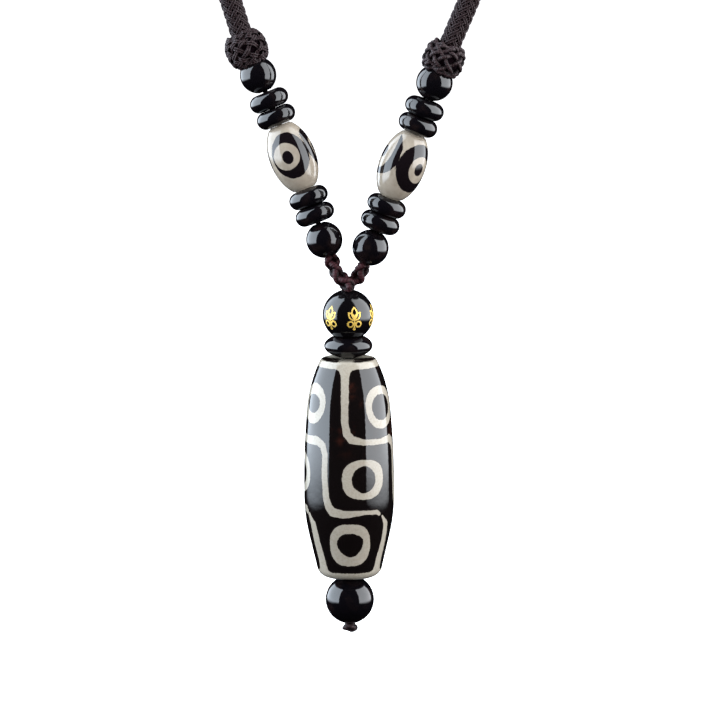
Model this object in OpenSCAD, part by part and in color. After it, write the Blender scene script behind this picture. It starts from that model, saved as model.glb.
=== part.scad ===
// Dzi bead necklace, worn: the origin is where the neck cord lies on the nape,
// +Z up, and the wearer faces -Y.

/* [Neck cord] */
// Diameter of the braided neck cord
cord_d = 4.9; // [4:0.1:5.2]
// Height from the nape down to where both sides meet
drop = 200; // [190:1:210]
// Distance from the nape forward to the pendant
reach = 125; // [120:1:130]

/* [Bead sides] */
// Diameter of the round beads
round_d = 8; // [7:0.1:8.5]
// Diameter of the disc beads
disc_d = 8.5; // [7:0.1:9]
// Thickness of the disc beads
disc_t = 3.8; // [3:0.1:4]
// Length of the small eyed beads
eye_l = 15.1; // [14:0.1:16]
// Largest diameter of the small eyed beads
eye_d = 10.2; // [9:0.1:11]
// Diameter of the small eyed beads' flat ends
eye_end_d = 4.7; // [4:0.1:5]
// Width of the woven ball knots
knot_d = 9.4; // [9:0.1:10]
// Height of the woven ball knots
knot_h = 8.8; // [8.4:0.1:9.2]
// Angle of the lowest left bead from the vertical
left_tilt = 20; // [18:0.1:22]
// How far the left side leans back on the chest
left_lean = 6; // [4:0.5:8]
// Radius of the bow that the left side hangs in
left_bow = 600; // [500:10:900]
// Lowest left bead, sideways from the pendant's line
left_x = 5.2; // [5:0.1:6]
// Lowest left bead, above the meeting point
left_h = 9.9; // [9.5:0.1:10.5]
// Angle of the lowest right bead from the vertical
right_tilt = 20.8; // [18:0.1:22]
// How far the right side leans back on the chest
right_lean = 0.5; // [0:0.5:8]
// Radius of the bow that the right side hangs in, nearly straight
right_bow = 6000; // [1000:100:9000]
// Lowest right bead, sideways from the pendant's line
right_x = 4.95; // [4.8:0.05:6]
// Lowest right bead, above the meeting point
right_h = 8.3; // [8:0.1:9.5]

/* [Pendant] */
// Diameter of the bead with gold work
gilt_d = 11.3; // [10.8:0.1:11.6]
// Diameter of the wide disc
wide_d = 10.7; // [9:0.1:12]
// Thickness of the wide disc
wide_t = 5.4; // [5:0.1:5.6]
// How deep the bead above sits in the wide disc
wide_dish = 1.6; // [1.4:0.05:1.8]
// Length of the large dzi bead
dzi_l = 49.1; // [46:0.1:52]
// Largest diameter of the large dzi bead
dzi_d = 20; // [18:0.1:22]
// Diameter of the round bead at the end
end_d = 10.8; // [9:0.1:12]
// Width of the small knot at the end
end_knot_d = 3.4; // [3:0.1:4]
// Height of the small knot at the end
end_knot_h = 2.4; // [2:0.1:3]
// How far the small knot reaches up around the end bead
end_knot_tuck = 0.45; // [0.2:0.05:0.6]
// Angle that the pendant hangs off the vertical
pendant_lean = 0.3; // [0:0.1:1]

/* [Threads] */
// Diameter of the threads that the side beads hang on
thread_d = 1.1; // [0.8:0.1:1.2]
// Diameter of the bores in the side beads
bore_d = 1.7; // [1.6:0.1:2]
// Diameter of the pendant's thread
drop_thread_d = 1.5; // [1:0.1:1.6]
// Diameter of the bores in the pendant's beads
drop_bore_d = 2; // [1.9:0.1:2.4]
// Gap between neighbours
gap = 0.1; // [0.08:0.01:0.12]

/* [Hidden] */
$fn = 64;
left = -1;
right = 1;
meeting = [0, -reach, -drop];
black = [0.04, 0.035, 0.04];
ivory = [0.80, 0.76, 0.69];
dark_agate = [0.12, 0.07, 0.06];
dark_cord = [0.16, 0.11, 0.12];

// Route of the neck cord's middle, from the left knot over the nape to the right knot
neck_route = [
    [-22.9, -119.4, -146.8], [-26, -118.5, -137], [-30.5, -117.5, -125],
    [-36, -116, -112.5], [-42.5, -113.5, -99.5], [-49, -110, -86.5],
    [-55.5, -105, -73.5], [-61, -98, -60.5], [-65, -88.5, -48],
    [-67, -77.5, -37], [-66.5, -65, -27.5], [-63.5, -52, -19.5],
    [-58, -39, -13], [-50.5, -26.5, -8], [-41, -15.5, -4.5], [-29, -6, -2],
    [-15, 0.5, -0.5], [0, 2.5, 0], [15, 0.5, -0.5], [29, -6, -2],
    [41, -15.5, -4.5], [50.5, -26.5, -8], [58, -39, -13], [63.5, -52, -19.5],
    [66.5, -65, -27.5], [67, -77.5, -37], [65, -88.5, -48], [61, -98, -60.5],
    [55.5, -105.5, -73.5], [49.5, -111, -86.5], [43.5, -115, -99.5],
    [37.3, -118.2, -112.5], [31.6, -120.9, -125], [26.5, -123, -137.2],
    [21.95, -124.15, -147.8]
];
// Routes of the two link cords, from the meeting point, after their first point under the lowest bead
link_route_left = [
    [-3.05, 0, 3.95], [-2.6, -0.4, 2.95], [-1.3, -1.3, 1.5], [-0.3, -1.7, 0.55],
    [0.4, -2.05, 0.1], [0.9, -2.3, -0.15]
];
link_route_right = [
    [2.75, 0.3, 2.75], [2.1, 0.75, 1.6], [1.1, 1.1, 0.7], [-0.1, 1.05, 0.25], [-1.35, 0.7, 0.05]
];
link_top_d = 3.1;
link_end_d = 2.1;

function of_side(side, on_left, on_right) = side == left ? on_left : on_right;

// Distances along each side from its lowest bead
round_low_at = 0;
disc_4_at = round_d / 2 + gap + disc_t / 2;
disc_3_at = disc_4_at + disc_t + gap;
eye_at = disc_3_at + disc_t / 2 + gap + eye_l / 2;
disc_2_at = eye_at + eye_l / 2 + gap + disc_t / 2;
disc_1_at = disc_2_at + disc_t + gap;
round_top_at = disc_1_at + disc_t / 2 + gap + round_d / 2;
knot_seat = 6.5;
knot_at = round_top_at + knot_seat;
side_link_at = -round_d / 2 - 0.05;
side_thread_from = -round_d / 2 + gap;
side_thread_to = knot_at + 1.2;

// Distances down the pendant from the meeting point
gilt_at = 6.65;
wide_at = gilt_at + gilt_d / 2 + gap - wide_dish + wide_t / 2;
dzi_at = wide_at + wide_t / 2 + gap;
end_at = dzi_at + dzi_l + gap + end_d / 2;
end_knot_at = end_at + end_d / 2 + gap - end_knot_tuck + end_knot_h / 2;

function tilt(side) = of_side(side, left_tilt, right_tilt);
function lean(side) = of_side(side, left_lean, right_lean);
function bow(side) = of_side(side, left_bow, right_bow);
function lowest(side) = meeting + of_side(side,
    [-left_x, left_h * tan(left_lean), left_h],
    [right_x, right_h * tan(right_lean), right_h]);
function bow_turn(side, s) = s / bow(side) * 180 / PI;
// The point that lies s along a side from its lowest bead's middle
function side_point(side, s) =
    let (turned = tilt(side) + bow_turn(side, s),
         out = bow(side) * (cos(tilt(side)) - cos(turned)),
         up = bow(side) * (sin(turned) - sin(tilt(side))))
    lowest(side) + [side * out, up * sin(lean(side)), up * cos(lean(side))];

module on_side(side, s) {
    translate(side_point(side, s))
        rotate([-lean(side), 0, 0])
            rotate([0, side * (tilt(side) + bow_turn(side, s)), 0])
                children();
}

module on_pendant(down) {
    translate(meeting) rotate([0, -pendant_lean, 0]) translate([0, 0, -down]) children();
}

function arc(centre, r, from, to, steps) =
    [for (i = [0 : steps]) let (a = from + (to - from) * i / steps)
        centre + r * [cos(a), sin(a)]];

// Half section of a bead with rounded flanks, from its top pole to its bottom pole
function lens(d, h, fullness, steps) =
    [for (i = [0 : steps]) let (a = 90 - 180 * i / steps)
        [d / 2 * pow(max(cos(a), 0), 2 / fullness),
         h / 2 * sign(sin(a)) * pow(abs(sin(a)), 2 / fullness)]];

module drilled(bore, length) {
    difference() {
        children();
        cylinder(d = bore, h = length, center = true);
    }
}

function unit(v) = v / norm(v);
function along(points, i) =
    unit(points[min(i + 1, len(points) - 1)] - points[max(i - 1, 0)]);
// A point on the smooth curve through four neighbours, at share t between the middle two
function smooth(a, b, c, d, t) =
    (2 * b + (c - a) * t + (2 * a - 5 * b + 4 * c - d) * t * t
     + (3 * b - a - 3 * c + d) * t * t * t) / 2;
function smoothed(points, parts) = concat(
    [for (i = [0 : len(points) - 2], k = [0 : parts - 1])
        smooth(points[max(i - 1, 0)], points[i], points[i + 1],
               points[min(i + 2, len(points) - 1)], k / parts)],
    [points[len(points) - 1]]);

// Round tube through points, d1 wide at its start and d2 at its end
module tube(points, d1, d2, sides) {
    rings = len(points);
    shell = [for (i = [0 : rings - 1])
        let (t = along(points, i),
             u = unit(cross(t, [0, 1, 0])),
             v = cross(t, u),
             r = (d1 + (d2 - d1) * i / (rings - 1)) / 2)
        for (k = [0 : sides - 1])
            let (a = 360 * k / sides) points[i] + r * (cos(a) * u + sin(a) * v)];
    walls = [for (i = [0 : rings - 2], k = [0 : sides - 1])
        let (a = i * sides + k, b = i * sides + (k + 1) % sides)
        each [[a, b + sides, b], [a, a + sides, b + sides]]];
    ends = [[for (k = [0 : sides - 1]) k],
            [for (k = [sides - 1 : -1 : 0]) (rings - 1) * sides + k]];
    polyhedron(points = shell, faces = concat(walls, ends), convexity = 8);
}

module neck_cord() {
    color(dark_cord) tube(smoothed(neck_route, 2), cord_d, cord_d, 10);
}

module knot(side) {
    end = side == left ? 0 : len(neck_route) - 1;
    step = side == left ? 1 : -1;
    heading = unit(neck_route[end + step] - neck_route[end]);
    color(dark_cord) difference() {
        on_side(side, knot_at) drilled(bore_d, 2 * knot_h) difference() {
            rotate_extrude() polygon(lens(knot_d, knot_h, 2.2, 24));
            // the round bead nests in the knot's underside
            translate([0, 0, -knot_seat]) sphere(d = round_d + 2 * gap);
        }
        translate(neck_route[end] - gap * heading)
            rotate([0, acos(heading[2]), atan2(heading[1], heading[0])])
                cylinder(d = cord_d + 3 * gap, h = knot_h);
    }
}

module side_thread(side) {
    color(dark_cord) translate(lowest(side)) rotate([-lean(side), 0, 0])
        mirror([of_side(side, 1, 0), 0, 0]) rotate([0, tilt(side), 0])
            translate([bow(side), 0, 0]) rotate([90, 0, 0])
                rotate([0, 0, 180 - bow_turn(side, side_thread_to)])
                    rotate_extrude(angle = bow_turn(side, side_thread_to - side_thread_from))
                        translate([bow(side), 0]) circle(d = thread_d);
}

module round_bead(side, s) {
    color(black) on_side(side, s) drilled(bore_d, 2 * round_d) sphere(d = round_d);
}

module disc_bead(side, s) {
    color(black) on_side(side, s) drilled(bore_d, 2 * disc_t)
        rotate_extrude() polygon(lens(disc_d, disc_t, 3.1, 24));
}

module eye_bead(side) {
    // the flank is part of an ellipse whose tip would lie beyond the flat end
    tip = eye_l / 2 / sqrt(1 - pow(eye_end_d / eye_d, 2));
    steps = 20;
    flank = [for (i = [0 : steps]) let (z = eye_l / 2 - eye_l * i / steps)
        [eye_d / 2 * sqrt(1 - pow(z / tip, 2)), z]];
    color(ivory) on_side(side, eye_at) drilled(bore_d, 2 * eye_l)
        rotate_extrude() polygon(concat([[0, eye_l / 2]], flank, [[0, -eye_l / 2]]));
}

module link_cord(side, route) {
    top = side_point(side, side_link_at);
    next = side_point(side, side_link_at - 1);
    color(dark_cord) tube(
        smoothed(concat([top, next], [for (p = route) p + meeting]), 2),
        link_top_d, link_end_d, 10);
}

module gilt_bead() {
    color(black) on_pendant(gilt_at) drilled(drop_bore_d, 2 * gilt_d) sphere(d = gilt_d);
}

module centre_disc() {
    color(black) difference() {
        on_pendant(wide_at) drilled(drop_bore_d, 2 * wide_t)
            rotate_extrude() polygon(lens(wide_d, wide_t, 2.2, 24));
        // the bead above sits in the disc's dished face
        on_pendant(gilt_at) sphere(d = gilt_d + 2 * gap);
    }
}

module dzi_bead() {
    r = dzi_d / 2;
    widest = -0.573 * dzi_l;      // height of the widest girth under the top
    body_r = 185;                 // bow of the body above the girth
    body_turn = 5.3;
    neck_r = 31;                  // tighter bow towards the top
    neck_at = [r - body_r, widest] + (body_r - neck_r) * [cos(body_turn), sin(body_turn)];
    top_edge = 0.9;               // rounding of the top edge
    top_turn = asin((-top_edge - neck_at[1]) / (neck_r - top_edge));
    top_at = neck_at + (neck_r - top_edge) * [cos(top_turn), sin(top_turn)];
    foot_r = 40;                  // bow under the girth, down to a straight taper
    foot_turn = 13;
    foot_at = [r - foot_r, widest - 2.4];
    foot_end = foot_at + foot_r * [cos(foot_turn), -sin(foot_turn)];
    low_edge = 2.5;               // rounding of the bottom edge
    low_z = low_edge - dzi_l;
    low_x = foot_end[0] + (foot_end[1] - low_z) * -tan(foot_turn) - low_edge / cos(foot_turn);
    outline = concat(
        [[0, 0]],
        arc(top_at, top_edge, 90, top_turn, 6),
        arc(neck_at, neck_r, top_turn, body_turn, 7),
        arc([r - body_r, widest], body_r, body_turn, 0, 5),
        arc(foot_at, foot_r, 0, -foot_turn, 6),
        arc([low_x, low_z], low_edge, -foot_turn, -90, 6),
        [[0, -dzi_l]]);
    color(dark_agate) on_pendant(dzi_at) drilled(drop_bore_d, 3 * dzi_l)
        rotate_extrude() polygon(outline);
}

module end_bead() {
    color(black) on_pendant(end_at) drilled(drop_bore_d, 2 * end_d) sphere(d = end_d);
}

module pendant_thread() {
    from = gilt_at - gilt_d / 2 + 2 * gap;
    to = end_knot_at + gap;
    color(dark_cord) on_pendant(to) cylinder(d = drop_thread_d, h = to - from);
}

module end_knot() {
    color(dark_cord) difference() {
        on_pendant(end_knot_at) difference() {
            rotate_extrude() polygon(lens(end_knot_d, end_knot_h, 2.2, 20));
            translate([0, 0, -2 * gap])
                cylinder(d = drop_thread_d + 2 * gap, h = end_knot_h);
        }
        // the end bead sits in the knot's top
        on_pendant(end_at) sphere(d = end_d + 2 * gap);
    }
}

neck_cord();
knot(left);  // knot_left
knot(right);  // knot_right
side_thread(left);  // thread_left
side_thread(right);  // thread_right
round_bead(left, round_top_at);  // round_left_top
disc_bead(left, disc_1_at);  // disc_left_1
disc_bead(left, disc_2_at);  // disc_left_2
eye_bead(left);  // eye_left
disc_bead(left, disc_3_at);  // disc_left_3
disc_bead(left, disc_4_at);  // disc_left_4
round_bead(left, round_low_at);  // round_left_low
round_bead(right, round_top_at);  // round_right_top
disc_bead(right, disc_1_at);  // disc_right_1
disc_bead(right, disc_2_at);  // disc_right_2
eye_bead(right);  // eye_right
disc_bead(right, disc_3_at);  // disc_right_3
disc_bead(right, disc_4_at);  // disc_right_4
round_bead(right, round_low_at);  // round_right_low
link_cord(left, link_route_left);  // link_left
link_cord(right, link_route_right);  // link_right
gilt_bead();
centre_disc();
dzi_bead();
end_bead();
pendant_thread();
end_knot();
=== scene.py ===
# A worn dzi bead necklace: braided neck cord, woven ball knots, agate beads, barrel pendant bead.
from math import asin, copysign, cos, degrees, pi, radians, sin, sqrt, tan

import bpy
from mathutils import Matrix, Vector


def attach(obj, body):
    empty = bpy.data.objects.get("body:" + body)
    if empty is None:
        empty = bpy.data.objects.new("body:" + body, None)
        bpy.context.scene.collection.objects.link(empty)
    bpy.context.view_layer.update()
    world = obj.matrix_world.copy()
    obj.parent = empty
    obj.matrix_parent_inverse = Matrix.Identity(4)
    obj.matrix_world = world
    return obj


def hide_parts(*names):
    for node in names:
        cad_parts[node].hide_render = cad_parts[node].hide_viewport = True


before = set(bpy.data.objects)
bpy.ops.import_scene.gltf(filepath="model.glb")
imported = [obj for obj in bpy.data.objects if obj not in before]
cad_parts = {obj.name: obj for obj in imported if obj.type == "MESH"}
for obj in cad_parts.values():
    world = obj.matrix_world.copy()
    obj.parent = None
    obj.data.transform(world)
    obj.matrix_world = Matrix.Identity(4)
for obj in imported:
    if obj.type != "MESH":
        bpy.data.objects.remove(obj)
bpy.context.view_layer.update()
mm = 0.001
left, right = -1, 1
sideName = {left: "left", right: "right"}


# Where the pieces lie, in millimetres and degrees, as the construction has them
worn = {
    "meeting": Vector((0, -125, -200)) * mm,  # where both sides meet, seen from the nape
    left: {"lowest": (-5.2, 9.9), "tilt": 20, "lean": 6, "bow": 600},  # lowest: aside, up
    right: {"lowest": (4.95, 8.3), "tilt": 20.8, "lean": 0.5, "bow": 6000},
    "pendantLean": 0.3,
    "gap": 0.1,
}


def sidePlace(side, along):
    values = worn[side]
    turn = along / values["bow"]
    start = radians(values["tilt"])
    lean = radians(values["lean"])
    outward = values["bow"] * (cos(start) - cos(start + turn))
    upward = values["bow"] * (sin(start + turn) - sin(start))
    sideways, lift = values["lowest"]
    point = Vector((sideways + side * outward,
                    lift * tan(lean) + upward * sin(lean),
                    lift + upward * cos(lean)))
    return (Matrix.Translation(worn["meeting"] + point * mm)
            @ Matrix.Rotation(-lean, 4, "X")
            @ Matrix.Rotation(side * (start + turn), 4, "Y"))


def pendantPlace(down):
    return (Matrix.Translation(worn["meeting"])
            @ Matrix.Rotation(-radians(worn["pendantLean"]), 4, "Y")
            @ Matrix.Translation((0, 0, -down * mm)))


# Node trees

class Wire:
    # A socket in a node tree. Maths on wires adds Math nodes to the tree.
    def __init__(self, tree, socket=None):
        self.tree = tree
        self.socket = socket

    def node(self, kind, values=None, output=0, items=None, **settings):
        made = self.tree.nodes.new(kind)
        for name, setting in settings.items():
            setattr(made, name, setting)
        for label, form in (items or {}).items():
            made.capture_items.new(form, label)
        for key, value in (values or {}).items():
            if isinstance(value, Wire):
                self.tree.links.new(value.socket, made.inputs[key])
            else:
                made.inputs[key].default_value = value
        return Wire(self.tree, made.outputs[output]) if made.outputs else None

    def into(self, kind, values=None, output=0, **settings):
        # A node that takes this wire as its first input
        return self.node(kind, {0: self, **(values or {})}, output, **settings)

    def out(self, output):
        return Wire(self.tree, self.socket.node.outputs[output])

    def axes(self):
        x = self.into("ShaderNodeSeparateXYZ")
        return x, x.out(1), x.out(2)

    def math(self, operation, *others):
        return self.into("ShaderNodeMath", dict(enumerate(others, 1)), operation=operation)

    def reflected(self, operation, other):
        return self.node("ShaderNodeMath", {0: other, 1: self}, operation=operation)

    def __add__(self, other):
        return self.math("ADD", other)

    __radd__ = __add__

    def __sub__(self, other):
        return self.math("SUBTRACT", other)

    def __rsub__(self, other):
        return self.reflected("SUBTRACT", other)

    def __mul__(self, other):
        return self.math("MULTIPLY", other)

    __rmul__ = __mul__

    def __truediv__(self, other):
        return self.math("DIVIDE", other)

    def __rtruediv__(self, other):
        return self.reflected("DIVIDE", other)

    def __pow__(self, other):
        return self.math("POWER", other)

    def __abs__(self):
        return self.math("ABSOLUTE")

    def lower(self, other):
        return self.math("MINIMUM", other)

    def upper(self, other):
        return self.math("MAXIMUM", other)

    def blended(self, other, softness):
        return self.math("SMOOTH_MIN", other, softness)

    def wrapped(self, reach):  # brought into -reach .. reach
        return self.math("WRAP", reach, -reach)

    def rise(self, start, end):  # 0 before start, 1 after end
        return self.into("ShaderNodeMapRange", {"From Min": start, "From Max": end},
                         interpolation_type="SMOOTHSTEP")

    def fall(self, start, end):
        return 1 - self.rise(start, end)

    def mix(self, first, second):  # this wire is the share of the second colour
        return self.into("ShaderNodeMix", {6: first, 7: second}, 2, data_type="RGBA")

    def vector(self, operation, other):
        return self.into("ShaderNodeVectorMath", {1: other}, operation=operation)

    def scaled(self, factor):
        return self.into("ShaderNodeVectorMath", {"Scale": factor}, operation="SCALE")

    def noise(self, scale, detail=2, roughness=0.5):
        return self.into("ShaderNodeTexNoise",
                         {"Scale": scale, "Detail": detail, "Roughness": roughness})

    def wobble(self, reach, scale, detail=2, roughness=0.5):  # noise to both sides of zero
        return (self.noise(scale, detail, roughness) - 0.5) * reach

    def bump(self, strength, distance):
        # The normal of a surface with this height, the distance in millimetres
        return self.node("ShaderNodeBump", {"Height": self, "Strength": strength,
                                            "Distance": distance * mm}, "Normal")

    def capture(self, fields):
        # Keeps fields on this geometry, each given as its form and its wire
        return self.into("GeometryNodeCaptureAttribute",
                         {label: source for label, (form, source) in fields.items()},
                         items={label: form for label, (form, source) in fields.items()})

    def stored(self, name, form, value):
        return self.into("GeometryNodeStoreNamedAttribute", {"Name": name, "Value": value},
                         data_type=form, domain="POINT")


def colour(red, green, blue):
    return (red, green, blue, 1)


def newFinish(name, **fixed):
    finish = bpy.data.materials.new(name)
    finish.use_nodes = True
    principled = finish.node_tree.nodes["Principled BSDF"]
    for label, value in fixed.items():
        principled.inputs[label.replace("_", " ")].default_value = value
    return finish, Wire(finish.node_tree), principled


def feed(principled, values):
    for label, wire in values.items():
        principled.id_data.links.new(wire.socket, principled.inputs[label])


def millimetres(wire, place=None):
    # Object coordinates in millimetres, in a piece's own axes where its place is given
    inverse = place.inverted() if place else Matrix()
    where = wire.node("ShaderNodeTexCoord", output="Object")
    return where.into("ShaderNodeMapping",
                      {"Location": inverse.translation / mm, "Rotation": inverse.to_euler(),
                       "Scale": (1 / mm,) * 3}, vector_type="POINT")


def degreesRound(x, y):  # from a piece's front to its right
    return x.math("ARCTAN2", y * -1) * (180 / pi)


def newTree(name, inputs):
    tree = bpy.data.node_groups.new(name, "GeometryNodeTree")
    for label, form in {"Geometry": "Geometry", **inputs}.items():
        tree.interface.new_socket(label, in_out="INPUT", socket_type="NodeSocket" + form)
    tree.interface.new_socket("Geometry", in_out="OUTPUT", socket_type="NodeSocketGeometry")
    return tree, Wire(tree).node("NodeGroupInput")


def addObject(name, data):
    made = bpy.data.objects.new(name, data)
    bpy.context.scene.collection.objects.link(made)
    return made


def runTree(carrier, tree, values):
    # The tree's result on a carrier mesh, as a plain mesh
    holder = addObject("carrier", carrier)
    modifier = holder.modifiers.new("make", "NODES")
    modifier.node_group = tree
    for item in tree.interface.items_tree:
        if item.in_out == "INPUT" and item.name in values:
            modifier[item.identifier] = values[item.name]
    bpy.context.view_layer.update()
    evaluated = holder.evaluated_get(bpy.context.evaluated_depsgraph_get())
    mesh = bpy.data.meshes.new_from_object(evaluated)
    holder.modifiers.remove(modifier)
    bpy.data.objects.remove(holder)
    return mesh


# Meshes and pieces

def lineMesh(points, outward=None, closed=False):
    count = len(points)
    edges = [(i, (i + 1) % count) for i in range(count if closed else count - 1)]
    mesh = bpy.data.meshes.new("line")
    mesh.from_pydata(points, edges, [])
    if outward:
        store = mesh.attributes.new("outward", "FLOAT_VECTOR", "POINT")
        store.data.foreach_set("vector", [part for vector in outward for part in vector])
    return mesh


def turnedMesh(outline, place, sides, finish):
    # A closed outline of (radius, height) turned round the piece's axis, in millimetres
    points, faces = [], []
    count = len(outline)
    for k in range(sides):
        angle = 2 * pi * k / sides
        for radius, height in outline:
            spot = Vector((radius * cos(angle), radius * sin(angle), height))
            points.append(place @ (spot * mm))
    for k in range(sides):
        here, there = k * count, (k + 1) % sides * count
        for i in range(count):
            j = (i + 1) % count
            faces.append((here + i, here + j, there + j, there + i))
    mesh = bpy.data.meshes.new("turned")
    mesh.from_pydata(points, [], faces)
    mesh.shade_smooth()
    mesh.materials.append(finish)
    return mesh


def joined(meshes):
    whole, *others = [addObject("whole", mesh) for mesh in meshes]
    with bpy.context.temp_override(active_object=whole,
                                   selected_editable_objects=[whole] + others):
        bpy.ops.object.join()
    mesh = whole.data
    bpy.data.objects.remove(whole)
    return mesh


def addPiece(name, data, nodes):
    piece = addObject(name, data)
    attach(piece, "root")
    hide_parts(*nodes)
    return piece


def aim(watcher, place, forward):
    watcher.location = place
    watcher.rotation_mode = "QUATERNION"
    watcher.rotation_quaternion = forward.to_track_quat("-Z", "Y")


# The camera stands in front of the wearer and looks a little down, in metres and degrees
shot = {
    "elevation": 10,
    "distance": 0.9,
    "frameHeight": 0.1584,
    "aside": 0.00264,  # the picture's middle, right of the meeting point
    "below": 0.0165,  # and under it
}


def makeCamera():
    angle = radians(shot["elevation"])
    forward = Vector((0, cos(angle), -sin(angle)))
    up = Vector((0, sin(angle), cos(angle)))
    target = worn["meeting"] + Vector((shot["aside"], 0, 0)) - up * shot["below"]
    data = bpy.data.cameras.new("camera")
    data.lens = data.sensor_width * shot["distance"] / shot["frameHeight"]
    data.clip_start, data.clip_end = 0.01, 20
    camera = addObject("camera", data)
    aim(camera, target - forward * shot["distance"], forward)
    bpy.context.scene.camera = camera


makeCamera()
print("camera set")


# Thread finishes: a thread's points hold the way along it and the turn round it. Each thread's
# flanks are painted darker as painted shade between the threads, and its pale colour is partly its
# own lighter tone and partly a painted highlight
threadLook = {
    "twist": 0.55,  # millimetres in which the plies go once round
    "unshadedCrest": 0.3,  # where its lighter outward side begins, between flank 0 and crest 1
    # The dark flank colour is painted shade between the threads; the pale colour is partly the
    # threads' lighter tone and partly a painted highlight
    "waxedThread": {"deep": colour(0.003, 0.001, 0.0015), "middle": colour(0.006, 0.003, 0.0034),
                    "paleAndHighlight": colour(0.050, 0.028, 0.031), "dull": 0.7, "shine": 0.3, "index": 1.3},
    "maroonThread": {"deep": colour(0.005, 0.001, 0.0015), "middle": colour(0.009, 0.002, 0.003),
                     "paleAndHighlight": colour(0.075, 0.027, 0.032), "dull": 0.42, "shine": 0.16,
                     "index": 1.2},
    "core": colour(0.003, 0.001, 0.002),  # the shade between the threads
}


def cordFinish(name):
    look = threadLook[name]
    finish, wire, principled = newFinish(name, IOR=look["index"])
    along = wire.node("ShaderNodeAttribute", output="Fac", attribute_name="along")
    around = wire.node("ShaderNodeAttribute", output="Vector", attribute_name="around")
    outward, beside = around.axes()[:2]
    twist = along * (2 * pi / (threadLook["twist"] * mm))
    ply = (twist.math("SINE") * outward + twist.math("COSINE") * beside) * 0.5 + 0.5
    where = millimetres(wire)
    fuzz = where.noise(9, 3, 0.6)
    tone = where.noise(0.9)
    # Painted shade: the thread's flanks, where it lies against its neighbours, take the dark flank
    # colour
    unshadedCrest = outward.rise(threadLook["unshadedCrest"], 1)
    # The pale colour on the outward side is partly the thread's own lighter tone and partly a
    # painted highlight
    base = (tone * 0.35 + ply * 0.4 + fuzz * 0.25).mix(look["middle"], look["paleAndHighlight"])
    base = unshadedCrest.mix(look["deep"], base)
    feed(principled, {"Base Color": base, "Normal": (ply * 0.7 + fuzz * 0.5).bump(0.8, 0.08),
                      "Roughness": fuzz * 0.15 + look["dull"] - unshadedCrest * look["shine"]})
    return finish


threadFinish = cordFinish("waxedThread")
maroonFinish = cordFinish("maroonThread")
shadeFinish = newFinish("shadedCore", Roughness=0.9, IOR=1.1, Base_Color=threadLook["core"])[0]
threadInputs = {"Width": "Float", "Thickness": "Float", "Step": "Float", "Sides": "Int",
                "Finish": "Material"}


def steppedLine(given):
    line = given.into("GeometryNodeMeshToCurve")
    return line.into("GeometryNodeResampleCurve", {"Length": given.out("Step")}, mode="LENGTH")


def sweepThread(line, outward, given):
    # Sweeps the flattened thread along a curve whose outward side is known, and ends the tree
    line = line.into("GeometryNodeSetCurveNormal", {"Normal": outward}, mode="FREE")
    line = line.stored("along", "FLOAT", line.node("GeometryNodeSplineParameter", output="Length"))
    ring = line.node("GeometryNodeCurvePrimitiveCircle",
                     {"Resolution": given.out("Sides"), "Radius": 1.0})
    ring = ring.stored("around", "FLOAT_VECTOR", ring.node("GeometryNodeInputPosition"))
    size = ring.node("ShaderNodeCombineXYZ", {"X": given.out("Thickness") * 0.5,
                                              "Y": given.out("Width") * 0.5, "Z": 1.0})
    ring = ring.into("GeometryNodeTransform", {"Scale": size})
    swept = line.into("GeometryNodeCurveToMesh", {"Profile Curve": ring, "Fill Caps": True})
    smooth = swept.into("GeometryNodeRealizeInstances").into("GeometryNodeSetShadeSmooth")
    coated = smooth.into("GeometryNodeSetMaterial", {"Material": given.out("Finish")})
    coated.into("NodeGroupOutput")


# Strands that wind both ways round a line, each over some strands and under as many
def braidTree():
    tree, given = newTree("braid", {
        "Strands": "Int", "Over": "Int", "Lead": "Float", "Start Radius": "Float",
        "End Radius": "Float", "Swing": "Float", "Turn": "Float", "Gather": "Float",
        **threadInputs})
    strands = given.out("Strands")
    line = steppedLine(given)
    way = line.node("GeometryNodeSplineParameter", output="Length")
    captured = line.capture({"Heading": ("VECTOR", line.node("GeometryNodeInputTangent")),
                             "Side": ("VECTOR", line.node("GeometryNodeInputNormal")),
                             "Way": ("FLOAT", way), "Share": ("FLOAT", way.out("Factor"))})
    copies = captured.into("GeometryNodeDuplicateElements", {"Amount": strands * 2},
                           domain="SPLINE")
    index = copies.out("Duplicate Index")
    backward = index.math("GREATER_THAN", strands - 0.5)
    hand = 1 - backward * 2
    step = pi / strands
    way, share = captured.out("Way"), captured.out("Share")
    angle = (hand * way * (2 * pi) / given.out("Lead")
             + index * step * 2 + backward * step)
    weave = hand * (angle * strands / given.out("Over")).math("SINE")
    weave = weave * (1.5 - weave * weave * 0.5)
    # The strands come together at both ends of the line, to a quarter of their radius
    total = way / share.upper(0.0001)
    gather = given.out("Gather").upper(0.00001)
    gathered = way.rise(0, gather) * (total - way).rise(0, gather)
    radius = given.out("Start Radius") * (1 - share) + given.out("End Radius") * share
    radius = (radius + given.out("Swing") * weave) * (gathered * 0.75 + 0.25)
    angle = angle + given.out("Turn")
    side = captured.out("Side")
    across = captured.out("Heading").vector("CROSS_PRODUCT", side)
    outward = side.scaled(angle.math("COSINE")).vector("ADD", across.scaled(angle.math("SINE")))
    moved = copies.into("GeometryNodeSetPosition", {"Offset": outward.scaled(radius)})
    sweepThread(moved, outward, given)
    return tree


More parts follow.
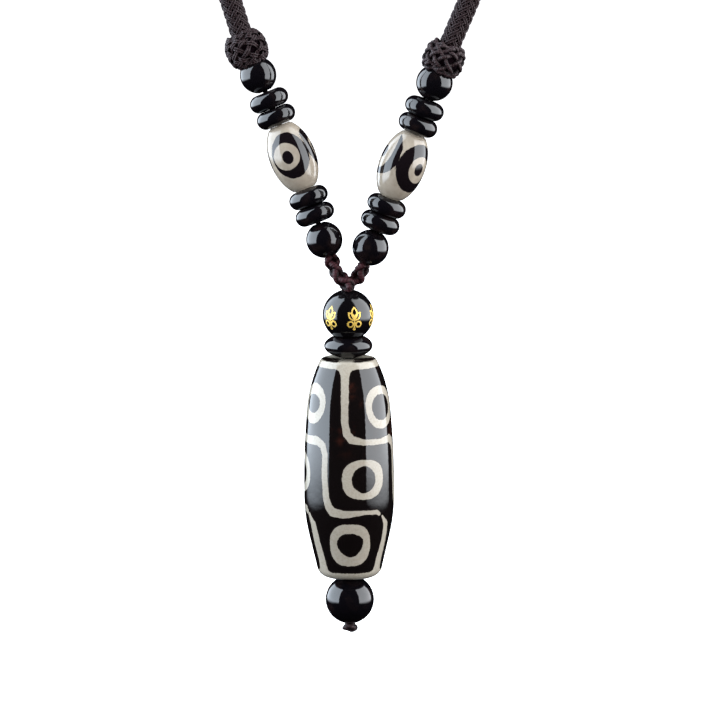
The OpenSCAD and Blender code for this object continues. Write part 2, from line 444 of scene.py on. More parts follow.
# Threads laid side by side along a closed line over a form
def layTree():
    tree, given = newTree("lay", {"Threads": "Int", "Spacing": "Float", **threadInputs})
    line = steppedLine(given)
    outward = line.node("GeometryNodeInputNamedAttribute", {"Name": "outward"},
                        data_type="FLOAT_VECTOR")
    captured = line.capture({"Heading": ("VECTOR", line.node("GeometryNodeInputTangent")),
                             "Outward": ("VECTOR", outward)})
    threads = given.out("Threads")
    copies = captured.into("GeometryNodeDuplicateElements", {"Amount": threads}, domain="SPLINE")
    place = copies.out("Duplicate Index") - (threads - 1) * 0.5
    away = captured.out("Outward")
    beside = captured.out("Heading").vector("CROSS_PRODUCT", away)
    moved = copies.into("GeometryNodeSetPosition",
                        {"Offset": beside.scaled(place * given.out("Spacing"))})
    sweepThread(moved, away, given)
    return tree


braid = braidTree()
lay = layTree()


def braided(route, cord, startRadius, endRadius, turn, finish):
    return runTree(lineMesh(route), braid, {
        "Strands": cord["strands"], "Over": cord["over"], "Lead": cord["lead"] * mm,
        "Start Radius": startRadius * mm, "End Radius": endRadius * mm,
        "Swing": cord["swing"] * mm, "Turn": turn, "Gather": cord["gather"] * mm,
        "Width": cord["threadWidth"] * mm, "Thickness": cord["threadThickness"] * mm,
        "Step": cord["step"] * mm, "Sides": cord["sides"], "Finish": finish})


# The neck cord, from the left knot over the nape to the right knot
neckCord = {
    "diameter": 4.9,
    "core": 3.5,
    "strands": 8,  # each way round
    "over": 2,
    "lead": 15,
    "pair": 0.3,  # turn between the two threads of a strand
    "threadWidth": 0.47,
    "threadThickness": 0.6,
    "swing": 0.13,
    "gather": 0,
    "step": 0.6,
    "sides": 6,
    # From the nape down the right side, alike on the left, and on down each side to its knot
    "nape": [(0, 2.5, 0), (15, 0.5, -0.5), (29, -6, -2), (41, -15.5, -4.5), (50.5, -26.5, -8),
             (58, -39, -13), (63.5, -52, -19.5), (66.5, -65, -27.5), (67, -77.5, -37),
             (65, -88.5, -48), (61, -98, -60.5)],
    left: [(-55.5, -105, -73.5), (-49, -110, -86.5), (-42.5, -113.5, -99.5), (-36, -116, -112.5),
           (-30.5, -117.5, -125), (-26, -118.5, -137), (-22.9, -119.4, -146.8)],
    right: [(55.5, -105.5, -73.5), (49.5, -111, -86.5), (43.5, -115, -99.5),
            (37.3, -118.2, -112.5), (31.6, -120.9, -125), (26.5, -123, -137.2),
            (21.95, -124.15, -147.8)],
}


def smoothed(points, parts=8):
    points = [Vector(point) * mm for point in points]
    fine = []
    for i in range(len(points) - 1):
        a, b = points[max(i - 1, 0)], points[i]
        c, d = points[i + 1], points[min(i + 2, len(points) - 1)]
        for k in range(parts):
            t = k / parts
            fine.append((2 * b + (c - a) * t + (2 * a - 5 * b + 4 * c - d) * t * t
                         + (3 * b - a - 3 * c + d) * t ** 3) / 2)
    return fine + [points[-1]]


def makeNeckCord():
    nape = neckCord["nape"]
    mirrored = [(-x, y, z) for x, y, z in nape[1:]]
    route = smoothed(neckCord[left][::-1] + mirrored[::-1] + nape + neckCord[right])
    curve = bpy.data.curves.new("neck_core", "CURVE")
    curve.dimensions = "3D"
    curve.bevel_depth = neckCord["core"] / 2 * mm
    curve.bevel_resolution = 3
    curve.use_fill_caps = True
    spline = curve.splines.new("POLY")
    spline.points.add(len(route) - 1)
    for point, place in zip(spline.points, route):
        point.co = (*place, 1)
    spline.use_smooth = True
    curve.materials.append(shadeFinish)
    core = addPiece("neck_core", curve, ["neck_cord"])
    middle = (neckCord["diameter"] - neckCord["threadThickness"]) / 2 - neckCord["swing"]
    for name, turn in (("neck_braid_first", -0.5), ("neck_braid_second", 0.5)):
        mesh = braided(route, neckCord, middle, middle, turn * neckCord["pair"], threadFinish)
        addPiece(name, mesh, ["neck_cord"])
    length = sum((b - a).length for a, b in zip(route, route[1:]))
    print("neck cord of", round(length, 3), "m,", len(mesh.polygons), "faces in each braid piece")


makeNeckCord()


# A woven ball: a thread laid over and under itself round a core
ballKnot = {
    "width": 9.5,
    "height": 8.8,
    "weave": 0.3,
    "fullness": 2.5,
    "reachUp": 58,  # how far the loops reach up and down the ball, in degrees
    "reachDown": 60,
    "flare": 0.5,  # how far the upper loops stand off
    "uneven": 0.09,  # share by which the loops differ in reach
    "clear": 0.05,  # from the lower loops to the bead
    "step": 0.25,
    "sides": 8,
    "core": (7.8, 5.8, 2.6),  # width, height, fullness
    "coreHole": 0.85,  # radius
    "coreLift": 0.5,
    "coreSides": 32,
    left: {"leads": 11, "bights": 10, "threads": 2, "thread": 0.5, "sunk": 0.35, "turn": 20},
    right: {"leads": 9, "bights": 8, "threads": 1, "thread": 0.96, "sunk": 1.0, "turn": 50},
}


def wovenLine(knot, values, radius, height):
    # The line of a turk's head over a rounded ball, and the outward side at each point
    leads, bights, turn = values["leads"], values["bights"], radians(values["turn"])
    uneven, power = knot["uneven"], 2 / knot["fullness"]
    zigzag = 0.97  # near 1, so that the crossings lie evenly over the ball
    points, outward = [], []
    steps = leads * bights * 24
    for i in range(steps):
        way = 2 * pi * leads * i / steps
        swing = way * bights / leads
        level = asin(zigzag * cos(swing)) / asin(zigzag)
        level = level * (1 + uneven * sin(way * 3 / leads + turn))
        latitude = radians((knot["reachUp"] if level > 0 else knot["reachDown"]) * level)
        heading = way + turn + 2 * uneven * sin(way * 2 / leads)
        over = sin((leads - 1) * swing)
        over = knot["weave"] * over * (1.5 - 0.5 * over * over)
        ring = cos(latitude) ** power
        rise = copysign(abs(sin(latitude)) ** power, latitude)
        away = Vector((cos(heading) * ring ** 0.7, sin(heading) * ring ** 0.7,
                       rise * 0.9)).normalized()
        reach = radius * ring + knot["flare"] * max(level, 0) ** 4
        spot = Vector((cos(heading) * reach, sin(heading) * reach, height * rise))
        points.append(spot + away * over)
        outward.append(away)
    return points, outward


def addKnot(name, node, place, line, knot, values, coreFinish):
    # Lays a knot's threads along its line, round a plain core
    points, outward = line
    thread = values["thread"]
    spacing = 1.04  # of threads side by side, in thread widths
    carrier = lineMesh([place @ (point * mm) for point in points],
                       [(place.to_3x3() @ away).normalized() for away in outward], closed=True)
    threads = runTree(carrier, lay, {
        "Threads": values["threads"], "Spacing": thread * spacing * mm, "Width": thread * mm,
        "Thickness": thread * mm, "Step": knot["step"] * mm, "Sides": knot["sides"],
        "Finish": threadFinish})
    inner = [(max(r, knot["coreHole"]), z + knot["coreLift"]) for r, z in lens(*knot["core"])]
    core = turnedMesh(inner, place, knot["coreSides"], coreFinish)
    addPiece(name, joined([threads, core]), [node])


def onArc(centre, radius, angle):
    turn = radians(angle)
    return centre[0] + radius * cos(turn), centre[1] + radius * sin(turn)


def arc(centre, radius, start, end, steps):
    return [onArc(centre, radius, start + (end - start) * i / steps) for i in range(steps + 1)]


def roundRimmed(diameter, height):
    # A flat disc with a half round rim
    return ([(0, height / 2)] + arc(((diameter - height) / 2, 0), height / 2, 90, -90, 36)
            + [(0, -height / 2)])


def lens(diameter, height, fullness, steps=24):
    outline = []
    for i in range(steps + 1):
        angle = pi / 2 - pi * i / steps
        ring = max(cos(angle), 0) ** (2 / fullness)
        rise = copysign(abs(sin(angle)) ** (2 / fullness), angle)
        outline.append((diameter / 2 * ring, height / 2 * rise))
    return outline


# Distances along each side from its lowest bead, as the construction has them
sizes = {
    "round": 8, "disc": 8.5, "discThick": 3.8, "eyeLong": 15.1, "eyeWide": 10.2, "eyeEnd": 4.7,
    "bore": 1.7, "knotSeat": 6.5, "sides": 96,
    "discPress": (0.3, 0.08),  # the discs press together: how much wider and thicker they are
    "boreEdge": 0.22,  # radii of the rounded edges of the bores and of the eyed beads' ends
    "eyeEdge": 0.25,
}
gap = worn["gap"]
discLowAt = sizes["round"] / 2 + gap + sizes["discThick"] / 2
discNextAt = discLowAt + sizes["discThick"] + gap
eyeAt = discNextAt + sizes["discThick"] / 2 + gap + sizes["eyeLong"] / 2
discUpperAt = eyeAt + sizes["eyeLong"] / 2 + gap + sizes["discThick"] / 2
discTopAt = discUpperAt + sizes["discThick"] + gap
roundTopAt = discTopAt + sizes["discThick"] / 2 + gap + sizes["round"] / 2
knotAt = roundTopAt + sizes["knotSeat"]


def makeBallKnot(side):
    values = ballKnot[side]
    place = sidePlace(side, knotAt - values["sunk"])
    inset = values["thread"] / 2 + ballKnot["weave"]
    points, outward = wovenLine(ballKnot, values, ballKnot["width"] / 2 - inset,
                                ballKnot["height"] / 2 - inset)
    # The lower loops lie on the bead
    bead = Vector((0, 0, values["sunk"] - sizes["knotSeat"]))
    clear = sizes["round"] / 2 + values["thread"] / 2 + ballKnot["clear"]
    points = [bead + (point - bead) * max(1, clear / (point - bead).length) for point in points]
    name = sideName[side]
    addKnot("woven_knot_" + name, "knot_" + name, place, (points, outward), ballKnot, values,
            shadeFinish)


makeBallKnot(left)
makeBallKnot(right)
print("ball knots woven")


# The two link cords, of four plump strands, that cross over the pendant
linkCord = {
    "under": (-0.25, 1.05),  # where they start, under each side's lowest bead
    left: [(-3.05, 0, 3.95), (-2.6, -0.4, 2.95), (-1.3, -1.3, 1.5), (-0.3, -1.7, 0.55),
           (0.45, -2.05, 0.1), (1.05, -2.3, -0.2)],
    right: [(2.75, 0.3, 2.75), (2.1, 0.75, 1.6), (1.1, 1.1, 0.7), (-0.1, 1.05, 0.25),
            (-1.65, 0.6, 0.0)],
    "topWidth": 3.7,
    "endWidth": 3.4,
    "strands": 2,  # each way round
    "over": 1,
    "lead": 8.4,
    "threadWidth": 1.5,
    "threadThickness": 1.5,
    "swing": 0.22,
    "gather": 0.3,
    "step": 0.15,
    "sides": 12,
}


def makeLinkCord(side):
    first = [sidePlace(side, -sizes["round"] / 2 - step).translation / mm
             for step in linkCord["under"]]
    rest = [worn["meeting"] / mm + Vector(point) for point in linkCord[side]]
    inset = linkCord["threadWidth"] / 2 + linkCord["swing"]
    mesh = braided(smoothed(first + rest), linkCord, linkCord["topWidth"] / 2 - inset,
                   linkCord["endWidth"] / 2 - inset, 0.0, maroonFinish)
    name = sideName[side]
    addPiece("knotted_link_" + name, mesh, ["link_" + name])


makeLinkCord(left)
makeLinkCord(right)
print("link cords made")


# Polished agate, black on most beads
agate = {
    "index": 1.54,
    "waves": 0.12,  # strength of the faint waves in the polish
    "polish": 0.02,  # roughness, and how much more there is where the stone is worn
    "worn": 0.06,
    "black": colour(0.003, 0.0025, 0.0035),
    "cloud": colour(0.010, 0.006, 0.006),
}


def newAgate(name):
    return newFinish(name, IOR=agate["index"])


def blackFinish():
    finish, wire, principled = newAgate("blackAgate")
    where = millimetres(wire)
    cloud = where.noise(0.35, 3).rise(0.45, 0.75)
    feed(principled, {"Base Color": cloud.mix(agate["black"], agate["cloud"]),
                      "Roughness": where.noise(3, 3, 0.6) * agate["worn"] + agate["polish"],
                      "Normal": where.noise(1.4).bump(agate["waves"], 0.08)})
    return finish


def drilled(outline, bore):
    # Opens an outline that runs from pole to pole for the bore, with rounded edges
    edge = sizes["boreEdge"]
    reach = bore / 2 + edge
    top = next(z for r, z in outline if r >= reach)
    foot = next(z for r, z in reversed(outline) if r >= reach)
    flank = [(r, z) for r, z in outline if r > reach + 0.02]  # leaves no sliver at the edge
    return (arc((reach, top - edge), edge, 180, 90, 4) + flank
            + arc((reach, foot + edge), edge, 270, 180, 4))


def addBead(name, node, outline, place, bore, finish, sides):
    addPiece(name, turnedMesh(drilled(outline, bore), place, sides, finish), [node])


def makeSideBeads(side):
    name = sideName[side]
    ball = lens(sizes["round"], sizes["round"], 2, 48)
    wider, thicker = sizes["discPress"]
    disc = roundRimmed(sizes["disc"] + wider, sizes["discThick"] + thicker)
    rows = (("round", "low", ball, 0), ("disc", "4", disc, discLowAt),
            ("disc", "3", disc, discNextAt), ("disc", "2", disc, discUpperAt),
            ("disc", "1", disc, discTopAt), ("round", "top", ball, roundTopAt))
    for form, mark, outline, along in rows:
        node = form + "_" + name + "_" + mark
        addBead("polished_" + node, node, outline, sidePlace(side, along), sizes["bore"],
                beadFinish, sizes["sides"])


beadFinish = blackFinish()
makeSideBeads(left)
makeSideBeads(right)
print("side beads turned")


# Ivory agate with three black eyes round it
eyeBead = {
    # The front eye's angle and height, its half sizes, how far its ring and pupil lie off its
    # middle; and, for the next eye that shows, the angles where its share begins and ends, how
    # far it is turned to the front, how much higher it lies and how it leans, how much less its
    # oval reaches up, and how far its ring reaches up and aside
    left: {"front": -4, "lift": 0.64, "oval": (51, 5.15), "ring": (3.15, 3.0), "ringOff": -0.92,
           "pupil": (1.23, 1.5), "pupilOff": (-0.58, -0.3),
           "nextShare": (50, 50.01, 147, 180), "nextTurn": 24, "nextLift": -0.5,
           "nextLean": 0.42, "nextLess": 0.6, "nextOpen": 0, "nextAside": 1.8},
    right: {"front": 45, "lift": 0.6, "oval": (61, 5.45), "ring": (2.85, 3.05), "ringOff": 0.28,
            "pupil": (1.23, 1.4), "pupilOff": (0.0, 0.1),
            "nextShare": (-178.01, -178, -62, -61.99), "nextTurn": 0, "nextLift": 1.2,
            "nextLean": 0, "nextLess": 0.4, "nextOpen": 1.5, "nextAside": 0},
    "squareness": 2.15,
    "edge": 0.09,  # half the width over which the black fades
    "wander": {"oval": 0.6, "ring": 0.35, "pupil": 0.4},  # how far each outline wanders
    "ivory": colour(0.355, 0.305, 0.245),
    "cloud": colour(0.29, 0.245, 0.195),
    "speck": colour(0.25, 0.20, 0.15),
    "polish": 0.04,  # roughness of the black, and how much rougher the ivory is
    "dull": 0.05,
    "black": colour(0.006, 0.004, 0.005),
    "sides": 128,
}


def roundForm(across, up, halfWide, halfHigh, power=2):
    # About how far a point lies outside a rounded form, in millimetres
    share = (abs(across) / halfWide) ** power + (abs(up) / halfHigh) ** power
    return (share ** (1 / power) - 1) * halfHigh


def eyeFinish(side, place):
    finish, wire, principled = newAgate("eyeAgate_" + sideName[side])
    values, off = eyeBead[side], eyeBead["wander"]
    where = millimetres(wire, place)
    x, y, z = where.axes()
    wander = where.wobble(0.8, 0.55) + where.wobble(0.16, 3.5)
    turned = (degreesRound(x, y) - values["front"]).wrapped(180)
    begin, full, fade, end = values["nextShare"]
    beside = turned.rise(begin, full) * turned.fall(fade, end)
    turned = (turned + beside * values["nextTurn"]).wrapped(60)
    perDegree = radians(sizes["eyeWide"] / 2)
    across = turned * perDegree
    lean = across * values["nextLean"] - values["nextLift"]
    up = z - values["lift"] + beside * lean
    ovalWide, ovalHigh = values["oval"]
    oval = roundForm(across, up, ovalWide * perDegree, ovalHigh - beside * values["nextLess"],
                     eyeBead["squareness"])
    ringWide, ringHigh = values["ring"]
    opened = beside * values["nextOpen"]
    ring = roundForm(across - values["ringOff"] - beside * values["nextAside"],
                     up - opened * 0.6, ringWide, ringHigh + opened)
    pupilAside, pupilUp = values["pupilOff"]
    pupil = roundForm(across - pupilAside, up - pupilUp, *values["pupil"])
    edge = eyeBead["edge"]
    dark = ((oval + wander * off["oval"]).fall(-edge, edge)
            * (ring + wander * off["ring"]).rise(-edge, edge))
    dark = dark.upper((pupil + wander * off["pupil"]).fall(-edge, edge))
    cloud = where.noise(0.5, 4, 0.6).rise(0.35, 0.7)
    speck = where.noise(5, 3, 0.6).rise(0.55, 0.8) * 0.5
    ivory = speck.mix(cloud.mix(eyeBead["ivory"], eyeBead["cloud"]), eyeBead["speck"])
    feed(principled, {"Base Color": dark.mix(ivory, eyeBead["black"]),
                      "Roughness": (1 - dark) * eyeBead["dull"] + eyeBead["polish"],
                      "Normal": where.noise(1.2).bump(agate["waves"], 0.08)})
    return finish


def eyeOutline():
    # A part of an ellipse with flat ends and rounded rims, from pole to pole
    half, rim = sizes["eyeLong"] / 2, sizes["eyeEdge"]
    tip = half / sqrt(1 - (sizes["eyeEnd"] / sizes["eyeWide"]) ** 2)
    steps = 40
    levels = [half - sizes["eyeLong"] * i / steps for i in range(steps + 1)]
    flank = [(sizes["eyeWide"] / 2 * sqrt(1 - (z / tip) ** 2), z) for z in levels]
    upper = [(0, half), (1.2, half)] + arc((flank[0][0] - rim, half - rim), rim, 90, 15, 3)
    lower = [(r, -z) for r, z in reversed(upper)]
    return upper + [(r, z) for r, z in flank if abs(z) < half - rim * 0.8] + lower


def makeEyeBead(side):
    place = sidePlace(side, eyeAt)
    name = sideName[side]
    addBead("polished_eye_" + name, "eye_" + name, eyeOutline(), place, sizes["bore"],
            eyeFinish(side, place), eyeBead["sides"])


makeEyeBead(left)
makeEyeBead(right)
print("eyed beads turned")


# The pendant, from its top bead down
pendant = {
    "giltAt": 6.65, "giltWide": 11.3, "discWide": 10.7, "discThick": 5.4, "dish": 1.6,
    "dziLong": 49.1, "dziWide": 20, "endWide": 10.8, "bore": 2, "knotWide": 3.4, "knotHigh": 2.4,
    "knotTuck": 0.45, "sides": 112,
}
discAt = (pendant["giltAt"] + pendant["giltWide"] / 2 + gap - pendant["dish"]
          + pendant["discThick"] / 2)
dziAt = discAt + pendant["discThick"] / 2 + gap
endAt = dziAt + pendant["dziLong"] + gap + pendant["endWide"] / 2
endKnotAt = endAt + pendant["endWide"] / 2 + gap - pendant["knotTuck"] + pendant["knotHigh"] / 2


def dished(outline, height, radius):
    # Hollows the top of an outline for a ball whose middle lies at a height over it
    def bowl(r):
        return height - sqrt(radius ** 2 - r ** 2)
    kept = [(r, z) for r, z in outline if z < 0 or r >= radius or z < bowl(r)]
    rim = kept[0][0]
    steps = 14
    return [(rim * i / steps, bowl(rim * i / steps)) for i in range(steps)] + kept


# Gold lotus scrolls, sunk in the black bead, in millimetres from the bead's waist
giltMotif = {
    "count": 6,
    "front": 15,  # angle of the scroll that faces forward
    # Tilt, foot, length and half width of each petal, and the point that they grow from
    "petals": [(0, 0.15, 2.7, 0.62), (38, 0.0, 2.1, 0.5), (-38, 0.0, 2.1, 0.5)],
    "root": -0.35,
    "stroke": 0.17,
    "curl": (0.92, -1.25, 0.62),  # how far aside and up, and its radius
    "curlOpen": (0.8, 0.6, 0.75),  # the way in which it opens, and how much of it is left
    "stem": (-1.15, 0.9),  # its middle and half its length
    "bud": (-2.45, 0.34),  # its middle and radius
    "edge": 0.05,  # half the width over which the gold fades
    "gold": colour(1.0, 0.72, 0.17),
    "rubbed": colour(0.84, 0.48, 0.06),
    "ground": colour(0.003, 0.0025, 0.003),
    "metal": 0.45,
    "polish": 0.04,  # roughness of the stone, and how much rougher the gold is
    "dull": 0.36,
    "sides": 128,
}


def giltFinish(place):
    finish, wire, principled = newAgate("giltAgate")
    where = millimetres(wire, place)
    x, y, z = where.axes()
    radius, stroke = pendant["giltWide"] / 2, giltMotif["stroke"]
    angle = degreesRound(x, y)
    flat = (x * x + y * y).math("SQRT")
    across = (angle - giltMotif["front"]).wrapped(180 / giltMotif["count"]) * radians(radius)
    across = across * (flat / radius * 0.5 + 0.5)
    up = (z / radius).math("ARCSINE") * radius
    form = None
    for tilt, foot, length, half in giltMotif["petals"]:
        cosine, sine = cos(radians(tilt)), sin(radians(tilt))
        lifted = up - giltMotif["root"]
        sideways = across * cosine - lifted * sine
        upward = across * sine + lifted * cosine - foot
        share = (upward - length / 2) / (length / 2)
        width = (1 - share * share).upper(0) * half
        petal = abs((abs(sideways) - width).upper(abs(upward - length / 2) - length / 2)) - stroke
        form = petal if form is None else form.lower(petal)
    curlAside, curlLift, curlRadius = giltMotif["curl"]
    openAside, openUp, openFrom = giltMotif["curlOpen"]
    for hand in (left, right):
        curlAcross = across - hand * curlAside
        curlUp = up - curlLift
        ring = (curlAcross * curlAcross + curlUp * curlUp).math("SQRT") - curlRadius
        opened = curlAcross * (hand * openAside) - curlUp * openUp - openFrom
        form = form.lower((abs(ring) - stroke).upper(opened))
    stemLift, stemHalf = giltMotif["stem"]
    budLift, budRadius = giltMotif["bud"]
    stem = abs(across).upper(abs(up - stemLift) - stemHalf) - stroke
    budUp = up - budLift
    bud = (across * across + budUp * budUp).math("SQRT") - budRadius
    form = form.lower(stem).lower(bud) + where.wobble(0.1, 4)
    gold = form.fall(-giltMotif["edge"], giltMotif["edge"])
    rubbed = where.noise(6, 3, 0.6)
    leaf = rubbed.rise(0.3, 0.75).mix(giltMotif["gold"], giltMotif["rubbed"])
    feed(principled, {"Base Color": gold.mix(giltMotif["ground"], leaf),
                      "Metallic": gold * giltMotif["metal"],
                      "Roughness": gold * giltMotif["dull"] + giltMotif["polish"],
                      "Normal": (gold * -1 + rubbed * 0.15).bump(0.35, 0.12)})
    return finish


giltPlace = pendantPlace(pendant["giltAt"])
addBead("gilt_agate_bead", "gilt_bead", lens(pendant["giltWide"], pendant["giltWide"], 2, 56),
        giltPlace, pendant["bore"], giltFinish(giltPlace), giltMotif["sides"])
addBead("polished_centre_disc", "centre_disc",
        dished(lens(pendant["discWide"], pendant["discThick"], 1.95, 60),
               discAt - pendant["giltAt"], pendant["giltWide"] / 2 + gap),
        pendantPlace(discAt), pendant["bore"], beadFinish, pendant["sides"])
addBead("polished_end_bead", "end_bead", lens(pendant["endWide"], pendant["endWide"], 2, 56),
        pendantPlace(endAt), pendant["bore"], beadFinish, pendant["sides"])


# The large bead: nine ringed eyes between three stepped lines
dziBead = {
    "fold": 60,  # half the angle after which the stepped line comes again
    "eyes": [  # angle, depth, half width and height of the ring and of its middle, squareness
        (-61, 9.3, 4.1, 4.42, 2.56, 2.1, 2.0), (53.5, 10.0, 4.6, 4.66, 3.0, 2.88, 2.1),
        (173, 9.7, 4.4, 4.5, 2.7, 2.5, 2.0), (21.8, 25.55, 5.5, 4.42, 3.1, 3.02, 2.45),
        (-94, 25.1, 5.0, 4.6, 3.1, 2.9, 2.2), (141, 25.3, 4.9, 4.6, 2.8, 2.9, 2.1),
        (1.2, 40.45, 5.0, 4.95, 3.1, 2.8, 2.6), (121, 40.4, 4.8, 4.9, 2.7, 2.6, 2.3),
        (-121, 40.5, 4.9, 4.8, 2.8, 2.6, 2.4)],
    "lowRow": 35,  # the depth where the lowest row begins
    "taper": 0.08,  # how much the eyes' middles narrow downwards in that row
    "lines": [  # angle, depth and half width of each point on the stepped line, in two stretches
        [(-6.4, 0.9, 1.05), (-5.6, 4.5, 0.86), (-5.3, 13.0, 0.79), (-2.6, 15.3, 0.90),
         (4.5, 16.6, 0.90), (22, 17.25, 0.65), (50, 17.45, 0.62), (70.8, 17.25, 0.85),
         (79.8, 18.1, 0.88), (84, 20, 0.77), (83.4, 25, 0.80), (85.8, 29.6, 0.88),
         (89.8, 31.6, 0.97), (95.6, 32.75, 1.0), (111.2, 33.25, 0.86), (126.6, 33.1, 0.68),
         (142.1, 32.95, 0.47), (161.5, 33.1, 0.50), (165.5, 33.6, 0.42)],
        [(171.9, 34.3, 0.25), (180.3, 36.3, 0.78), (181.8, 38.5, 0.95), (182.3, 42, 1.05),
         (182.7, 46.8, 1.22)]],
    "spread": [(11, 19, 7), (31, 36, -2.5), (40, 45, 4)],  # depths, degrees gained between them
    "widened": (-0.9, -0.55, 0.28),  # shares aside between which the lines widen, and how much
    "bands": ((0.1, 1.45), (47.15, 48.7)),  # the lines round both rims
    "bandBlend": 2,
    "rim": (5.9, 0.467, 1),  # the etched right of the upper rim: radius, share aside and depth
    "wander": {"line": 0.16, "outer": 0.22, "inner": 0.35},  # how far each outline wanders
    "ripple": {"line": 0.3, "eye": 0.34},  # and how rough it is
    "edge": 0.07,  # half the width over which the lines fade
    "halo": 0.45,  # width of the browner stone beside them
    "stone": colour(0.0045, 0.0032, 0.0032),
    "ember": colour(0.030, 0.009, 0.006),  # the red inside, which fades out with depth and aside
    "emberDepth": (15, 22),
    "emberAside": (-0.5, -0.2),
    "brown": colour(0.016, 0.010, 0.008),
    "chalk": colour(0.38, 0.343, 0.283),
    "worn": colour(0.315, 0.278, 0.225),
    "polish": 0.05,  # roughness of the stone, and how much rougher the lines are
    "dull": 0.08,
    "sides": 160,
}


def dziOutline():
    half, long = pendant["dziWide"] / 2, pendant["dziLong"]
    widest = -0.573 * long
    bodyBow, bodyTurn = 185, 5.3  # the long bow over the middle
    neckBow, topEdge = 31, 0.9  # the tighter bow and the rounded edge over it
    body = (half - bodyBow, widest)
    neck = onArc(body, bodyBow - neckBow, bodyTurn)
    topTurn = degrees(asin((-topEdge - neck[1]) / (neckBow - topEdge)))
    top = onArc(neck, neckBow - topEdge, topTurn)
    footBow, footTurn, lowEdge = 40, 13, 2.5  # the bow and taper under the middle
    foot = (half - footBow, widest - 2.4)
    taper = radians(footTurn)
    footX, footZ = onArc(foot, footBow, -footTurn)
    lowZ = lowEdge - long
    low = (footX - (footZ - lowZ) * tan(taper) - lowEdge / cos(taper), lowZ)
    lowX, lowZ = onArc(low, lowEdge, -footTurn)
    straight = [(footX + (lowX - footX) * i / 8, footZ + (lowZ - footZ) * i / 8)
                for i in range(1, 8)]
    return ([(0, 0), (2, 0), (3.5, 0)] + arc(top, topEdge, 90, topTurn, 8)
            + arc(neck, neckBow, topTurn, bodyTurn, 18)[1:]
            + arc(body, bodyBow, bodyTurn, 0, 12)[1:]
            + arc(foot, footBow, 0, -footTurn, 10) + straight
            + arc(low, lowEdge, -footTurn, -90, 12)
            + [(3.5, -long), (2, -long), (0, -long)])


def strokeForm(angle, depth, perDegree, start, end):
    # How far a point lies outside a stroke with round ends, in millimetres
    (fromAngle, fromDepth, fromHalf), (toAngle, toDepth, toHalf) = start, end
    across = (angle - (fromAngle + toAngle) / 2).wrapped(dziBead["fold"]) * perDegree
    down = depth - (fromDepth + toDepth) / 2
    halfAcross = perDegree * ((toAngle - fromAngle) / 2)
    halfDown = (toDepth - fromDepth) / 2
    share = ((across * halfAcross + down * halfDown)
             / (halfAcross * halfAcross + halfDown * halfDown).upper(0.01))
    share = share.upper(-1).lower(1)
    offAcross, offDown = across - halfAcross * share, down - halfDown * share
    away = (offAcross * offAcross + offDown * offDown).math("SQRT")
    return away - (share * ((toHalf - fromHalf) / 2) + (fromHalf + toHalf) / 2)


def dziFinish(place):
    finish, wire, principled = newAgate("dziAgate")
    where = millimetres(wire, place)
    x, y, z = where.axes()
    depth = z * -1
    radius = (x * x + y * y).math("SQRT")
    aside = x / radius.upper(0.5)
    # The lines sit a little closer together at the front than behind
    spread = [depth.rise(start, end) * gained for start, end, gained in dziBead["spread"]]
    angle = degreesRound(x, y) + sum(spread[1:], spread[0]) * aside
    off, rough = dziBead["wander"], dziBead["ripple"]
    wander = where.wobble(1.3, 0.45)
    ripple = where.wobble(0.95, 1.4, 2, 0.6) + where.wobble(0.3, 5, 2, 0.6)
    perDegree = radius * (pi / 180)
    line = None
    for stretch in dziBead["lines"]:
        for start, end in zip(stretch, stretch[1:]):
            stroke = strokeForm(angle, depth, perDegree, start, end)
            line = stroke if line is None else line.lower(stroke)
    start, end, widened = dziBead["widened"]
    line = line - aside.fall(start, end) * widened
    for upper, lowest in dziBead["bands"]:
        band = abs(depth - (upper + lowest) / 2) - (lowest - upper) / 2
        line = line.blended(band, dziBead["bandBlend"])
    # 9 turns a share aside near the rim into about millimetres
    rimRadius, rimAside, rimDepth = dziBead["rim"]
    rim = (rimRadius - radius).upper((rimAside - aside) * 9).upper(depth - rimDepth)
    form = line.lower(rim) + wander * off["line"] + ripple * rough["line"]
    for facing, level, wide, high, innerWide, innerHigh, square in dziBead["eyes"]:
        across = (angle - facing).wrapped(180) * perDegree
        down = depth - level
        narrowed = across
        if level > dziBead["lowRow"]:
            narrowed = across * (down * dziBead["taper"] + 1)
        outer = roundForm(across, down, wide, high, square)
        inner = roundForm(narrowed, down, innerWide, innerHigh)
        ring = (outer + wander * off["outer"]).upper((inner + wander * off["inner"]) * -1)
        form = form.lower(ring + ripple * rough["eye"])
    etched = form.fall(-dziBead["edge"], dziBead["edge"])
    halo = form.fall(0.0, dziBead["halo"])
    glow = (where.noise(0.22, 3, 0.55).rise(0.5, 0.72) * depth.fall(*dziBead["emberDepth"])
            * aside.rise(*dziBead["emberAside"]))
    stone = glow.mix(dziBead["stone"], dziBead["ember"])
    stone = (halo * 0.4).mix(stone, dziBead["brown"])
    chalk = where.noise(2.2, 4, 0.6).rise(0.35, 0.75).mix(dziBead["chalk"], dziBead["worn"])
    feed(principled, {"Base Color": etched.mix(stone, chalk),
                      "Roughness": etched * dziBead["dull"] + dziBead["polish"],
                      "Normal": where.noise(0.9).bump(agate["waves"], 0.1)})
    return finish


dziPlace = pendantPlace(dziAt)
addBead("etched_dzi_bead", "dzi_bead", dziOutline(), dziPlace, pendant["bore"],
        dziFinish(dziPlace), dziBead["sides"])
print("pendant beads turned")


# The small knot that stops the pendant's thread
endKnot = {"leads": 3, "bights": 2, "threads": 1, "thread": 0.95, "turn": 0, "weave": 0.18,
           "fullness": 2, "reachUp": 60, "reachDown": 60, "flare": 0, "uneven": 0,
           "step": 0.12, "sides": 10, "core": (2.2, 1.7, 2), "coreHole": 0.1, "coreLift": 0,
           "coreSides": 24}


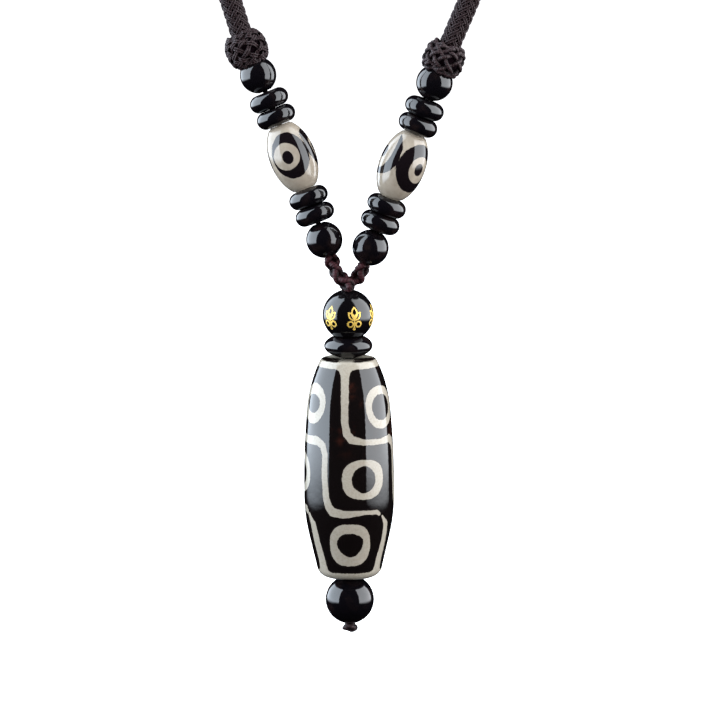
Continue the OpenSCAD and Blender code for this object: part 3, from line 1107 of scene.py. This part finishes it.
def makeEndKnot():
    line = wovenLine(endKnot, endKnot, (pendant["knotWide"] - endKnot["thread"]) / 2,
                     (pendant["knotHigh"] - endKnot["thread"]) / 2)
    addKnot("end_stop_knot", "end_knot", pendantPlace(endKnotAt), line, endKnot, endKnot,
            threadFinish)


makeEndKnot()
for name in ("thread_left", "thread_right", "pendant_thread"):
    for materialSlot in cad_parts[name].material_slots:
        materialSlot.material = threadFinish


# Pale floor, white surroundings and two tall soft boxes, in metres and degrees
studio = {
    "floor": -0.3,
    "white": 1.02,
    "boxes": [  # angle from the camera round to the box, its half width, bottom and top,
        # brightness, and the share of it that is left at the rear edge
        {"hand": left, "middle": 96.5, "half": 43.5, "foot": -22, "top": 76,
         "tone": (0.79, 0.89, 1.0), "glow": 6.8, "rear": 0.85},
        {"hand": right, "middle": 83, "half": 38, "foot": -22, "top": 76,
         "tone": (0.92, 0.955, 1.0), "glow": 5.7, "rear": 1.0}],
    "crown": 0.6,  # share of the light left at the boxes' tops
    "clear": -10,  # the boxes have faded in fully at this height
    "away": 0.6,
    "fill": {"size": 0.8, "energy": 6, "place": (0, -0.9, 0.25)},
}


def makeStage():
    mesh = bpy.data.meshes.new("floor")
    reach = 6
    mesh.from_pydata([(-reach, -reach, 0), (reach, -reach, 0), (reach, reach, 0),
                      (-reach, reach, 0)], [], [(0, 1, 2, 3)])
    floor = addObject("floor", mesh)
    floor.location.z = studio["floor"]
    mesh.materials.append(newFinish("paleFloor", Roughness=0.9, Base_Color=colour(0.8, 0.8, 0.8),
                                    Emission_Color=colour(1, 1, 1),
                                    Emission_Strength=studio["white"])[0])
    floor.visible_glossy = False
    floor.visible_diffuse = False


def fadeLight(data, box, clear):
    # Dims a box towards its rear edge and its top, and fades it in over its lowest part
    data.use_nodes = True
    emission = data.node_tree.nodes["Emission"]
    spot = Wire(data.node_tree).node("ShaderNodeNewGeometry", output="Parametric")
    along, up = spot.axes()[:2]
    back = 1 - along if box["hand"] == left else along
    strength = (1 - back.rise(0.2, 1) * (1 - box["rear"])) * up.rise(0, clear)
    strength = strength * (1 - up * (1 - studio["crown"]))
    data.node_tree.links.new(strength.socket, emission.inputs["Strength"])


def makeLights():
    middle, away = worn["meeting"], studio["away"]
    for box in studio["boxes"]:
        angle = radians(box["middle"])
        low, high, lit = (away * tan(radians(height))
                          for height in (box["foot"], box["top"], studio["clear"]))
        name = "softbox_" + sideName[box["hand"]]
        data = bpy.data.lights.new(name, "AREA")
        data.shape = "RECTANGLE"
        data.size = 2 * away * tan(radians(box["half"]))
        data.size_y = high - low
        data.color = box["tone"]
        data.energy = box["glow"] * pi * data.size * data.size_y
        fadeLight(data, box, (lit - low) / (high - low))
        light = addObject(name, data)
        outward = Vector((box["hand"] * sin(angle), -cos(angle), 0))
        aim(light, middle + outward * away + Vector((0, 0, (low + high) / 2)), -outward)
        light.visible_camera = False
    data = bpy.data.lights.new("front_fill", "AREA")
    data.size = studio["fill"]["size"]
    data.energy = studio["fill"]["energy"]
    fill = addObject("front_fill", data)
    offset = Vector(studio["fill"]["place"])
    aim(fill, middle + offset, -offset)
    fill.visible_camera = False
    fill.visible_glossy = False


def makeWorld():
    world = bpy.data.worlds.new("surroundings")
    world.use_nodes = True
    world.node_tree.nodes["Background"].inputs["Color"].default_value = colour(1, 1, 1)
    for ray in ("diffuse", "glossy", "transmission"):
        setattr(world.cycles_visibility, ray, False)
    bpy.context.scene.world = world
    bpy.context.scene.view_settings.view_transform = "Standard"
    bpy.context.scene.view_settings.look = "None"


makeStage()
makeLights()
makeWorld()
print("studio lit")
